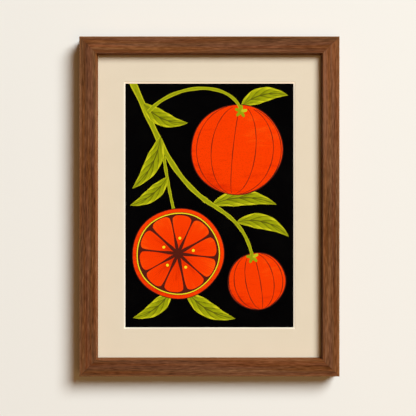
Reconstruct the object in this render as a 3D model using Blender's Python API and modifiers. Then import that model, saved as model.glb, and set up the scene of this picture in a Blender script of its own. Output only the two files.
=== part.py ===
"""A framed print to hang on a wall, with its moulding, glazing, mat, boards and fittings.

Metres, X to the right, Y into the wall, Z up. The wall's surface is the plane y = 0, and the
origin is the point where the wall nail bears on the middle notch of the hanger.
"""

import math

import bmesh
import bpy
from mathutils import Matrix

# Fits
GAP = 0.0003                # between neighbours that touch
CUT_PAST = 0.001            # how far a cutter runs past the face it opens

# Moulding: one section on all four rails
OUTER_W = 0.3325
OUTER_H = 0.4345
FACE_W = 0.0215             # width of the front face
LIP_DEPTH = 0.0090          # from the front face back to the glass
LIP_FLARE = 0.0018          # how far the lip's inner wall slopes in, from front to back
LIP_LAP = 0.0073            # how far the lip's back laps over the glass
ARRIS_R = 0.0009            # rounding of the two front edges
BACK_ARRIS_R = 0.0005
ARC_STEPS = 3

# Stack behind the lip, from the glass to the back
STACK_PLAY = 0.0005         # around the sheets, inside the rebate
GLASS_T = 0.0020
MAT_T = 0.0020
PRINT_T = 0.0003
TAPE_T = 0.0002
MOUNT_T = 0.0050            # foam board
FILLER_T = 0.0030           # corrugated card
BACKING_T = 0.0030

# Mat window, at its narrow back edge, and the print behind it
WINDOW_W = 0.2166
WINDOW_H = 0.3141
WINDOW_RAISE = 0.0013       # the mat is a little heavier below the window
PRINT_LAP = 0.0125          # print hidden behind the mat, on each side
TAPE_W = 0.022
TAPE_H = 0.030
TAPE_X = 0.070              # hinge tapes, from the middle line

# Fittings on the back
STANDOFF = 0.0030           # from the wall to the back of the moulding
HANG_DROP = 0.0110          # from the top edge down to the bearing notch
STRAP_L = 0.0460
STRAP_H = 0.0092
STRAP_T = 0.0008
STRAP_PAD_L = 0.0085        # flat end that is nailed to the rail
STRAP_RAMP_L = 0.0024
TOOTH_PITCH = 0.0022
TOOTH_DEPTH = 0.0015
TOOTH_COUNT = 11
NAIL_R = 0.0007
NAIL_HEAD_R = 0.0015
NAIL_HEAD_T = 0.0006
NAIL_L = 0.0090

BUTTON_T = 0.0009
BUTTON_EYE_R = 0.0045       # round end, about the screw
BUTTON_TIP_R = 0.0030
BUTTON_REACH = 0.0140       # from the screw to the tip's centre
BUTTON_SIDE_Z = 0.1150      # on the side rails, from mid height
BUTTON_END_X = 0.0800       # on the top and bottom rails, from the middle
SCREW_R = 0.0012
SCREW_L = 0.0090
SCREW_POINT_L = 0.0020
SCREW_HEAD_R = 0.0026
SCREW_HEAD_T = 0.0012
SLOT_W = 0.0007
SLOT_DEPTH = 0.0006

V_APEX = 0.0050             # apex of the corner nail, from both outer edges
V_ARM_L = 0.0070
V_HALF_ANGLE = math.radians(35)
V_T = 0.0008
V_DEPTH = 0.0070

BUMPER_R = 0.0060
BUMPER_EDGE_R = 0.0006
BUMPER_IN = 0.0250          # from the frame's outer side to the bumper's centre

ROUND_STEPS = 24
SMALL_STEPS = 16
MERGE = 0.00001
SHARP = math.radians(35)

# Places worked out from the sizes above
SHEETS_T = GLASS_T + MAT_T + PRINT_T + TAPE_T + MOUNT_T + FILLER_T + BACKING_T
REBATE_DEPTH = SHEETS_T + 7 * GAP
BACK_Y = -STANDOFF
LIP_Y = BACK_Y - REBATE_DEPTH
FRONT_Y = LIP_Y - LIP_DEPTH
DEPTH = LIP_DEPTH + REBATE_DEPTH
CENTRE_Z = HANG_DROP - OUTER_H / 2
SHOULDER_W = FACE_W + LIP_FLARE - LIP_LAP   # what the rebate leaves of the back face
STACK_W = OUTER_W - 2 * (SHOULDER_W + STACK_PLAY)
STACK_H = OUTER_H - 2 * (SHOULDER_W + STACK_PLAY)
WINDOW_Z = CENTRE_Z + WINDOW_RAISE

# Each rail: name, length, quarter turns about Y, place of its outer edge's middle
RAILS = (
    ("rail_left", OUTER_H, 0, (-OUTER_W / 2, FRONT_Y, CENTRE_Z)),
    ("rail_top", OUTER_W, 1, (0, FRONT_Y, CENTRE_Z + OUTER_H / 2)),
    ("rail_right", OUTER_H, 2, (OUTER_W / 2, FRONT_Y, CENTRE_Z)),
    ("rail_bottom", OUTER_W, 3, (0, FRONT_Y, CENTRE_Z - OUTER_H / 2)),
)

# Each turn button: name, quarter turns about Y of the rail that it is on, place of its screw
BUTTON_IN_X = OUTER_W / 2 - SHOULDER_W / 2
BUTTON_IN_Z = OUTER_H / 2 - SHOULDER_W / 2
BUTTONS = (
    ("left_upper", 0, -BUTTON_IN_X, CENTRE_Z + BUTTON_SIDE_Z),
    ("left_lower", 0, -BUTTON_IN_X, CENTRE_Z - BUTTON_SIDE_Z),
    ("top_left", 1, -BUTTON_END_X, CENTRE_Z + BUTTON_IN_Z),
    ("top_right", 1, BUTTON_END_X, CENTRE_Z + BUTTON_IN_Z),
    ("right_upper", 2, BUTTON_IN_X, CENTRE_Z + BUTTON_SIDE_Z),
    ("right_lower", 2, BUTTON_IN_X, CENTRE_Z - BUTTON_SIDE_Z),
    ("bottom_left", 3, -BUTTON_END_X, CENTRE_Z - BUTTON_IN_Z),
    ("bottom_right", 3, BUTTON_END_X, CENTRE_Z - BUTTON_IN_Z),
)


def clear_scene():
    """Removes every object that the open file holds."""
    for obj in list(bpy.data.objects):
        bpy.data.objects.remove(obj)


def new_collection(name):
    """A collection of that name under the scene's own."""
    collection = bpy.data.collections.new(name)
    bpy.context.scene.collection.children.link(collection)
    return collection


def new_material(name, colour, roughness, metallic=0.0, alpha=1.0):
    """A Principled BSDF material of one colour."""
    made = bpy.data.materials.new(name)
    made.use_nodes = True
    shader = made.node_tree.nodes["Principled BSDF"]
    shader.inputs["Base Color"].default_value = (*colour, 1.0)
    shader.inputs["Roughness"].default_value = roughness
    shader.inputs["Metallic"].default_value = metallic
    shader.inputs["Alpha"].default_value = alpha
    made.diffuse_color = (*colour, alpha)
    return made


def new_object(name, data, collection, finish=None):
    """An object on that mesh or curve, in that collection, with its material."""
    obj = bpy.data.objects.new(name, data)
    collection.objects.link(obj)
    if finish:
        data.materials.clear()
        data.materials.append(finish)
    return obj


def new_cutter(name, mesh, cutters):
    """A cutter: drawn as wire and left out of renders."""
    obj = new_object(name, mesh, cutters)
    obj.display_type = "WIRE"
    obj.hide_render = True
    return obj


def evaluated_mesh(obj):
    """The mesh that an object's curve or modifiers make, welded, in its own axes."""
    depsgraph = bpy.context.evaluated_depsgraph_get()
    mesh = bpy.data.meshes.new_from_object(obj.evaluated_get(depsgraph))
    bm = bmesh.new()
    bm.from_mesh(mesh)
    bmesh.ops.remove_doubles(bm, verts=bm.verts, dist=MERGE)
    bmesh.ops.recalc_face_normals(bm, faces=bm.faces)
    bm.to_mesh(mesh)
    bm.free()
    return mesh


def extruded(name, loops, length, collection):
    """The mesh of flat outlines in X and Y, extruded by length along Z about z = 0."""
    curve = bpy.data.curves.new(name, "CURVE")
    curve.dimensions = "2D"
    curve.fill_mode = "BOTH"
    curve.extrude = length / 2
    for loop in loops:
        spline = curve.splines.new("POLY")
        spline.points.add(len(loop) - 1)
        for point, (x, y) in zip(spline.points, loop):
            point.co = (x, y, 0, 1)
        spline.use_cyclic_u = True
    obj = new_object(name, curve, collection)
    mesh = evaluated_mesh(obj)
    bpy.data.objects.remove(obj)
    bpy.data.curves.remove(curve)
    return mesh


def wall_plate(name, loops, near, far, collection):
    """The mesh of outlines in X and Z that fills y from near to far."""
    mesh = extruded(name, loops, far - near, collection)
    stand_up = Matrix.Rotation(math.radians(90), 4, "X")
    mesh.transform(Matrix.Translation((0, (near + far) / 2, 0)) @ stand_up)
    return mesh


def block(name, size, centre):
    """The mesh of a box of that size about that centre."""
    mesh = bpy.data.meshes.new(name)
    bm = bmesh.new()
    placed = Matrix.Translation(centre) @ Matrix.Diagonal((*size, 1))
    bmesh.ops.create_cube(bm, size=1, matrix=placed)
    bm.to_mesh(mesh)
    bm.free()
    return mesh


def rod(name, radius, near, far, steps):
    """The mesh of a cylinder about the Y axis that fills y from near to far."""
    mesh = bpy.data.meshes.new(name)
    bm = bmesh.new()
    lay_down = Matrix.Rotation(math.radians(-90), 4, "X")
    placed = Matrix.Translation((0, (near + far) / 2, 0)) @ lay_down
    bmesh.ops.create_cone(bm, cap_ends=True, segments=steps, radius1=radius,
                          radius2=radius, depth=far - near, matrix=placed)
    bm.to_mesh(mesh)
    bm.free()
    return mesh


def turned(name, profile, steps, collection):
    """The mesh of a profile of (radius, height), top to bottom, turned about Y, its top at +Y."""
    line = bpy.data.meshes.new(name + "_profile")
    line.from_pydata([(radius, 0, height) for radius, height in profile],
                     [(i, i + 1) for i in range(len(profile) - 1)], [])
    obj = new_object(name, line, collection)
    spin = obj.modifiers.new("Turn", "SCREW")
    spin.steps = spin.render_steps = steps
    spin.use_merge_vertices = True
    spin.merge_threshold = MERGE
    mesh = evaluated_mesh(obj)
    mesh.transform(Matrix.Rotation(math.radians(-90), 4, "X"))
    bpy.data.objects.remove(obj)
    bpy.data.meshes.remove(line)
    return mesh


def smooth_round(mesh):
    """Smooth shading that stays sharp at the edges of flat faces."""
    mesh.shade_smooth()
    mesh.set_sharp_from_angle(angle=SHARP)


def arc(centre, radius, start, end, steps=ARC_STEPS):
    """Points on an arc between two angles in degrees, both ends included."""
    turns = [math.radians(start + (end - start) * i / steps) for i in range(steps + 1)]
    return [(centre[0] + radius * math.cos(t), centre[1] + radius * math.sin(t)) for t in turns]


def rectangle(width, height, centre=(0, 0)):
    """The four corners of a rectangle, anticlockwise."""
    x, y = centre
    return [(x - width / 2, y - height / 2), (x + width / 2, y - height / 2),
            (x + width / 2, y + height / 2), (x - width / 2, y + height / 2)]


def cut(obj, cutters, name="Cuts"):
    """A Boolean difference of an object and a whole collection of cutters."""
    boolean = obj.modifiers.new(name, "BOOLEAN")
    boolean.operation = "DIFFERENCE"
    boolean.operand_type = "COLLECTION"
    boolean.collection = cutters
    boolean.solver = "EXACT"
    return boolean


def rail_section():
    """The rail's outline: X from its outer edge inward, Y from its front face to its back."""
    inner = FACE_W - ARRIS_R
    back = BACK_ARRIS_R
    lean = math.degrees(math.atan(LIP_FLARE / LIP_DEPTH))
    return [
        *arc((ARRIS_R, ARRIS_R), ARRIS_R, 180, 270),
        *arc((inner, ARRIS_R), ARRIS_R, 270, 360 - lean),
        (FACE_W + LIP_FLARE, LIP_DEPTH),
        (SHOULDER_W, LIP_DEPTH),
        (SHOULDER_W, DEPTH),
        *arc((back, DEPTH - back), back, 90, 180, 1),
    ]


def mitred(mesh, length):
    """Cuts both ends of a rail at 45 degrees, half a gap short of the corner's own plane."""
    bm = bmesh.new()
    bm.from_mesh(mesh)
    short = GAP / 2 * math.sqrt(2)
    for end in (1, -1):
        everything = [*bm.verts, *bm.edges, *bm.faces]
        made = bmesh.ops.bisect_plane(
            bm, geom=everything, dist=MERGE, plane_co=(0, 0, end * (length / 2 - short)),
            plane_no=(1, 0, end), clear_outer=True)
        rim = [item for item in made["geom_cut"] if isinstance(item, bmesh.types.BMEdge)]
        bmesh.ops.contextual_create(bm, geom=rim)
    bmesh.ops.recalc_face_normals(bm, faces=bm.faces)
    bm.to_mesh(mesh)
    bm.free()
    return mesh


def build_rails(parts, cutters, walnut):
    """The four mitred rails, bored for the fittings by the shared cutters."""
    for name, length, quarters, place in RAILS:
        mesh = mitred(extruded(name, [rail_section()], length, parts), length)
        smooth_round(mesh)
        rail = new_object(name, mesh, parts, walnut)
        rail.location = place
        rail.rotation_euler = (0, math.radians(90 * quarters), 0)
        cut(rail, cutters)


def build_stack(parts, window_cutters, finishes):
    """Glass, mat, print, hinge tapes, mount, filler and backing board, front to back."""
    front = LIP_Y + GAP
    sheets = (
        ("glass", GLASS_T, "glass"),
        ("mat_board", MAT_T, "mat"),
        ("print_sheet", PRINT_T, "print"),
        ("hinge_tape", TAPE_T, "tape"),
        ("mount_board", MOUNT_T, "mount"),
        ("filler_board", FILLER_T, "filler"),
        ("backing_board", BACKING_T, "hardboard"),
    )
    for name, thick, finish in sheets:
        middle = front + thick / 2
        if name == "print_sheet":
            size = (WINDOW_W + 2 * PRINT_LAP, thick, WINDOW_H + 2 * PRINT_LAP)
            new_object(name, block(name, size, (0, middle, WINDOW_Z)), parts, finishes[finish])
        elif name == "hinge_tape":
            build_tapes(middle, parts, finishes[finish])
        else:
            size = (STACK_W, thick, STACK_H)
            sheet = new_object(name, block(name, size, (0, middle, CENTRE_Z)), parts,
                               finishes[finish])
            if name == "mat_board":
                cut_window(sheet, front, window_cutters)
        front += thick + GAP


def build_tapes(middle, parts, finish):
    """Two tapes across the print's top edge, half on the print and half on the board above."""
    top = WINDOW_Z + WINDOW_H / 2 + PRINT_LAP
    for side, name in ((-1, "hinge_tape_left"), (1, "hinge_tape_right")):
        mesh = block(name, (TAPE_W, TAPE_T, TAPE_H), (side * TAPE_X, middle, top))
        new_object(name, mesh, parts, finish)


def cut_window(mat, front, window_cutters):
    """Opens the mat by a window whose four sides slope at 45 degrees and widen to the front."""
    mesh = bpy.data.meshes.new("window")
    bm = bmesh.new()
    bmesh.ops.create_cube(bm, size=2)
    ends = {-1: (front - CUT_PAST, MAT_T + CUT_PAST), 1: (front + MAT_T + CUT_PAST, -CUT_PAST)}
    for vert in bm.verts:
        y, spread = ends[round(vert.co.y)]
        vert.co = (round(vert.co.x) * (WINDOW_W / 2 + spread), y,
                   WINDOW_Z + round(vert.co.z) * (WINDOW_H / 2 + spread))
    bm.to_mesh(mesh)
    bm.free()
    new_cutter("window", mesh, window_cutters)
    cut(mat, window_cutters, "Window")


def v_outline(room=0.0):
    """A V whose arms open along +X, grown on every side by room."""
    half = V_T / 2 + room
    along = (math.cos(V_HALF_ANGLE), math.sin(V_HALF_ANGLE))
    across = (-along[1] * half, along[0] * half)
    tip = ((V_ARM_L + room) * along[0], (V_ARM_L + room) * along[1])
    nose = half / math.sin(V_HALF_ANGLE)
    return [
        (-nose, 0),
        (tip[0] + across[0], -tip[1] - across[1]),
        (tip[0] - across[0], -tip[1] + across[1]),
        (nose, 0),
        (tip[0] - across[0], tip[1] - across[1]),
        (tip[0] + across[0], tip[1] + across[1]),
    ]


def build_corner_nails(parts, cutters, steel):
    """One V nail pressed into the back of each mitre, and the slot that it sits in."""
    near = BACK_Y - GAP - V_DEPTH
    nail = wall_plate("v_nail", [v_outline()], near, BACK_Y - GAP, parts)
    slot = wall_plate("v_slot", [v_outline(GAP)], near - GAP, BACK_Y + CUT_PAST, cutters)
    apex_x = OUTER_W / 2 - V_APEX
    apex_z = OUTER_H / 2 - V_APEX
    corners = (
        ("bottom_left", -1, -1, -45),
        ("top_left", -1, 1, 45),
        ("top_right", 1, 1, 135),
        ("bottom_right", 1, -1, 225),
    )
    for name, side, up, turn in corners:
        for mesh, label, maker in ((nail, "v_nail_", None), (slot, "v_slot_", cutters)):
            if maker:
                obj = new_cutter(label + name, mesh, cutters)
            else:
                obj = new_object(label + name, mesh, parts, steel)
            obj.location = (side * apex_x, 0, CENTRE_Z + up * apex_z)
            obj.rotation_euler = (0, math.radians(turn), 0)


def button_outline():
    """A turn button: a round eye about the screw, drawn in to a narrower round tip along +X."""
    lean = math.degrees(math.asin((BUTTON_EYE_R - BUTTON_TIP_R) / BUTTON_REACH))
    edge = 90 - lean
    eye = arc((0, 0), BUTTON_EYE_R, edge, 360 - edge, ROUND_STEPS // 2)
    tip = arc((BUTTON_REACH, 0), BUTTON_TIP_R, -edge, edge, ROUND_STEPS // 2)
    hole = arc((0, 0), SCREW_R + GAP, 360, 360 / SMALL_STEPS, SMALL_STEPS - 1)
    return [[*eye, *tip], hole]


def screw_mesh(parts, slot_cutters):
    """A pan head screw whose head stands on y = 0, with a straight slot across the head."""
    shoulder = SCREW_HEAD_R - SCREW_HEAD_T / 2
    profile = [
        (0, SCREW_HEAD_T),
        (shoulder, SCREW_HEAD_T),
        (SCREW_HEAD_R, SCREW_HEAD_T / 2),
        (SCREW_HEAD_R, 0),
        (SCREW_R, 0),
        (SCREW_R, SCREW_POINT_L - SCREW_L),
        (0, -SCREW_L),
    ]
    solid = new_object("screw", turned("screw", profile, SMALL_STEPS, parts), parts)
    size = (2 * SCREW_HEAD_R + CUT_PAST, SLOT_DEPTH + CUT_PAST, SLOT_W)
    middle = SCREW_HEAD_T - SLOT_DEPTH + size[1] / 2
    new_cutter("screw_slot", block("screw_slot", size, (0, middle, 0)), slot_cutters)
    cut(solid, slot_cutters, "Slot")
    mesh = evaluated_mesh(solid)
    bpy.data.objects.remove(solid)
    smooth_round(mesh)
    return mesh


def build_buttons(parts, cutters, slot_cutters, finishes):
    """The turn buttons over the backing board, each on its own screw in a bore of the rail."""
    plate = wall_plate("turn_button", button_outline(), GAP, GAP + BUTTON_T, parts)
    smooth_round(plate)
    screw = screw_mesh(parts, slot_cutters)
    bore = rod("screw_bore", SCREW_R + GAP, 2 * GAP + BUTTON_T - SCREW_L - GAP, CUT_PAST,
               SMALL_STEPS)
    for name, quarters, x, z in BUTTONS:
        button = new_object("turn_button_" + name, plate, parts, finishes["zinc"])
        button.location = (x, BACK_Y, z)
        button.rotation_euler = (0, math.radians(90 * quarters), 0)
        pin = new_object("turn_screw_" + name, screw, parts, finishes["steel"])
        pin.location = (x, BACK_Y + 2 * GAP + BUTTON_T, z)
        pin.rotation_euler = (0, math.radians(90 * quarters + 45), 0)
        hole = new_cutter("screw_bore_" + name, bore, cutters)
        hole.location = (x, BACK_Y, z)


def strap_side():
    """The hanger's side outline in X and Y: two flat pads and a raised middle between ramps."""
    end = STRAP_L / 2
    low = BACK_Y + GAP
    high = -STRAP_T
    foot = end - STRAP_PAD_L
    shelf = foot - STRAP_RAMP_L
    right = [(end, low), (end, low + STRAP_T), (foot, low + STRAP_T), (shelf, high + STRAP_T)]
    left = [(-x, y) for x, y in reversed(right)]
    under = [(-foot, low), (-shelf, high), (shelf, high), (foot, low)]
    return [*right, *left, *under]


def tooth_outline():
    """The cutter of the hanger's lower edge in X and Z, one V notch at each pitch."""
    crest = -TOOTH_DEPTH
    half = TOOTH_COUNT * TOOTH_PITCH / 2
    edge = []
    for i in range(TOOTH_COUNT):
        start = half - i * TOOTH_PITCH
        edge.extend([(start, crest), (start - TOOTH_PITCH / 2, 0)])
    edge.append((-half, crest))
    return [(-half, crest - CUT_PAST), (half, crest - CUT_PAST), *edge]


def build_hanger(parts, cutters, strap_cutters, finishes):
    """The toothed strap on the top rail and the two nails that fix it."""
    strap_mesh = extruded("sawtooth_hanger", [strap_side()], STRAP_H, parts)
    bottom = -TOOTH_DEPTH
    strap_mesh.transform(Matrix.Translation((0, 0, bottom + STRAP_H / 2)))
    strap = new_object("sawtooth_hanger", strap_mesh, parts, finishes["zinc"])
    teeth = wall_plate("teeth", [tooth_outline()], BACK_Y, CUT_PAST, strap_cutters)
    new_cutter("teeth", teeth, strap_cutters)
    nail_z = bottom + STRAP_H / 2
    nail_x = (STRAP_L - STRAP_PAD_L) / 2
    head_y = BACK_Y + 2 * GAP + STRAP_T
    profile = [
        (0, NAIL_HEAD_T),
        (NAIL_HEAD_R, NAIL_HEAD_T),
        (NAIL_HEAD_R, 0),
        (NAIL_R, 0),
        (NAIL_R, NAIL_R * 2 - NAIL_L),
        (0, -NAIL_L),
    ]
    nail = turned("hanger_nail", profile, SMALL_STEPS, parts)
    smooth_round(nail)
    bore = rod("nail_bore", NAIL_R + GAP, -NAIL_L - GAP, CUT_PAST, SMALL_STEPS)
    for side, name in ((-1, "left"), (1, "right")):
        fixing = new_object("hanger_nail_" + name, nail, parts, finishes["steel"])
        fixing.location = (side * nail_x, head_y, nail_z)
        for label, group in (("nail_bore_", cutters), ("strap_bore_", strap_cutters)):
            hole = new_cutter(label + name, bore, group)
            hole.location = fixing.location
    cut(strap, strap_cutters)


def build_bumpers(parts, rubber):
    """Two soft discs low on the back, which meet the wall."""
    height = STANDOFF - GAP
    inside = BUMPER_R - BUMPER_EDGE_R
    rim = arc((inside, height - BUMPER_EDGE_R), BUMPER_EDGE_R, 90, 0)
    mesh = turned("bumper", [(0, height), *rim, (BUMPER_R, 0), (0, 0)], ROUND_STEPS, parts)
    smooth_round(mesh)
    for side, name in ((-1, "bumper_left"), (1, "bumper_right")):
        bumper = new_object(name, mesh, parts, rubber)
        bumper.location = (side * (OUTER_W / 2 - BUMPER_IN), BACK_Y + GAP,
                           CENTRE_Z - OUTER_H / 2 + SHOULDER_W / 2)


def main():
    """Builds the framed print."""
    clear_scene()
    parts = new_collection("framed_print")
    cutters = new_collection("rail_cutters")
    window_cutters = new_collection("window_cutters")
    slot_cutters = new_collection("screw_slot_cutters")
    strap_cutters = new_collection("strap_cutters")
    finishes = {
        "walnut": new_material("walnut", (0.150, 0.062, 0.024), 0.55),
        "glass": new_material("glass", (0.95, 0.97, 0.96), 0.04, alpha=0.15),
        "mat": new_material("mat_cream", (0.78, 0.66, 0.50), 0.92),
        "print": new_material("print_paper", (0.004, 0.004, 0.005), 0.60),
        "tape": new_material("linen_tape", (0.72, 0.70, 0.64), 0.95),
        "mount": new_material("mount_board", (0.80, 0.78, 0.72), 0.90),
        "filler": new_material("corrugated_card", (0.42, 0.29, 0.17), 0.95),
        "hardboard": new_material("hardboard", (0.235, 0.130, 0.066), 0.70),
        "zinc": new_material("zinc_plate", (0.62, 0.63, 0.64), 0.35, 1.0),
        "steel": new_material("bright_steel", (0.56, 0.56, 0.57), 0.30, 1.0),
        "rubber": new_material("felted_rubber", (0.030, 0.028, 0.027), 0.90),
    }
    build_corner_nails(parts, cutters, finishes["steel"])
    build_buttons(parts, cutters, slot_cutters, finishes)
    build_hanger(parts, cutters, strap_cutters, finishes)
    build_rails(parts, cutters, finishes["walnut"])
    build_stack(parts, window_cutters, finishes)
    build_bumpers(parts, finishes["rubber"])


main()
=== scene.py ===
"""The looks of a framed print: moulding, glazing, mat, picture, back, fittings and studio.

Metres, X to the right, Y into the wall, Z up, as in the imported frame. Places on the back come from
the frame's own boxes, so that each new piece stands on what carries it.
"""

import logging
import math
from dataclasses import dataclass, field, replace
from enum import Enum, IntEnum
from typing import Callable

import bmesh
import bpy
import numpy as np
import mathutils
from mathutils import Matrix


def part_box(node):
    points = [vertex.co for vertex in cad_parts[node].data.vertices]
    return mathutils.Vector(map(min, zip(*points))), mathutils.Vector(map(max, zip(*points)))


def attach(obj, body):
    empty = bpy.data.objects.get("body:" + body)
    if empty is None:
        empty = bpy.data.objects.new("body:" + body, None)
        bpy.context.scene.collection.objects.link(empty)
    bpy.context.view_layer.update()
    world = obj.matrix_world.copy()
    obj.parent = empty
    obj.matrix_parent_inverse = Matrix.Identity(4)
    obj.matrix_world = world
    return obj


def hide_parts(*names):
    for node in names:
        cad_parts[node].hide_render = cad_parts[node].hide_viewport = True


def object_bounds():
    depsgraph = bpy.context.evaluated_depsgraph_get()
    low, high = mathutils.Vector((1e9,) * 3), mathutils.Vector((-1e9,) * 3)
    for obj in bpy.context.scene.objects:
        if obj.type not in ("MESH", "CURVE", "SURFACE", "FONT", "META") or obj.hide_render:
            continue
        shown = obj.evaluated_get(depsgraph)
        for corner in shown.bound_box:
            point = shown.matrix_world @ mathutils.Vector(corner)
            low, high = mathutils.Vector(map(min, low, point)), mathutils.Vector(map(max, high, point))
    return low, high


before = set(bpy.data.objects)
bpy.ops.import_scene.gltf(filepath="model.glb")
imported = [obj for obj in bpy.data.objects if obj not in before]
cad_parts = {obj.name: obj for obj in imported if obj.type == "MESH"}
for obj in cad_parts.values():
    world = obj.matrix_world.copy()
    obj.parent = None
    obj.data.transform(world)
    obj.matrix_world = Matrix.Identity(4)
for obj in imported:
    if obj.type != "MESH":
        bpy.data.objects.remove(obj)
CAD_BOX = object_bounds()

LOG = logging.getLogger("framed_print")
Point = tuple[float, float]
Vector = tuple[float, float, float]
Colour = tuple[float, float, float]
Numbers = float | np.ndarray
Socket = bpy.types.NodeSocket
Node = bpy.types.Node
Value = Socket | float | tuple[float, ...]  # what a node's input takes
Drawn = tuple[np.ndarray, np.ndarray]       # a grid of flat points and their map places
WELD = 1e-7                     # points closer than this are one
FACE_WIDTH = 0.0215             # of the moulding's front
ARRIS = 0.0009                  # rounding of the moulding's front edges
MIX_SOCKETS = (0, 6, 7)         # share, first and second of a Mix node that is set to colours
STREAKS = (                     # of the wood: features to a metre along and across, and strength
    ((2.4, 36.0), 0.85),        # broad bands
    ((4.8, 130.0), 0.95),       # narrower ones
    ((10.0, 470.0), 1.10),      # long thin streaks
    ((80.0, 950.0), 1.75),      # short fine ones
)
WANDER = 0.0050                 # width of the band that the wood's streaks wander in


def srgb(red: int, green: int, blue: int) -> Colour:
    """A display colour of 0 to 255 a channel as the linear colour that shaders take."""
    shares = [channel / 255 for channel in (red, green, blue)]
    return tuple(s / 12.92 if s <= 0.04045 else ((s + 0.055) / 1.055) ** 2.4 for s in shares)


def coords(*parts: Numbers) -> np.ndarray:
    """Arrays and numbers, stretched to one shape and joined as the coordinates of points."""
    return np.stack(np.broadcast_arrays(*parts), axis=-1)


def polar(radius: Numbers, angle: Numbers) -> np.ndarray:
    """Flat points at distances and angles from the origin."""
    return coords(radius * np.cos(angle), radius * np.sin(angle))


def lattice(rows: int, columns: int, start: float = 0.0,
            end: float = 1.0) -> tuple[np.ndarray, np.ndarray]:
    """A grid's parameters: one from start to end down its rows, one from -1 to 1 across."""
    return np.linspace(start, end, rows)[:, None], np.linspace(-1, 1, columns)[None, :]


def wheel(rings: int, turns: int, inner: float = 0.0) -> tuple[np.ndarray, np.ndarray]:
    """A round grid's parameters: the share of the radius down its rows, the angle across."""
    return np.linspace(inner, 1, rings)[:, None], np.linspace(0, 2 * np.pi, turns + 1)[None, :]


def left_of(slope: np.ndarray) -> np.ndarray:
    """The unit normals on the left of flat slopes: each turned a quarter, over its length."""
    turned = coords(-slope[..., 1], slope[..., 0])
    return turned / np.linalg.norm(slope, axis=-1, keepdims=True)


def middle_of(box: tuple) -> np.ndarray:
    """The middle of a box as the eye in front sees it: its x and z."""
    low, high = box
    return np.array([low.x + high.x, low.z + high.z]) / 2


class Along(Enum):
    """The world axis that a grain or a brushing runs along, as the order of the coordinates."""

    X = ("X", "Z", "Y")
    Z = ("Z", "X", "Y")


class Rim(Enum):
    """An open border of a grid of points, as the index of its points."""

    FIRST = np.s_[0, :]
    LAST = np.s_[-1, :]
    LEFT = np.s_[:, 0]
    RIGHT = np.s_[:, -1]


ALL_RIMS = tuple(Rim)


class Layer(IntEnum):
    """The layers of ink, counted from the paper."""

    BRANCH = 1
    LEAF = 5                # and the two layers above it
    OUTLINE = 8
    RIND = 9
    RIB = 10
    TWIG = 11               # and the ground of the cut fruit
    CAP = 12                # and the rings of the cut fruit
    FLESH = 13
    SEED = 14


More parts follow.
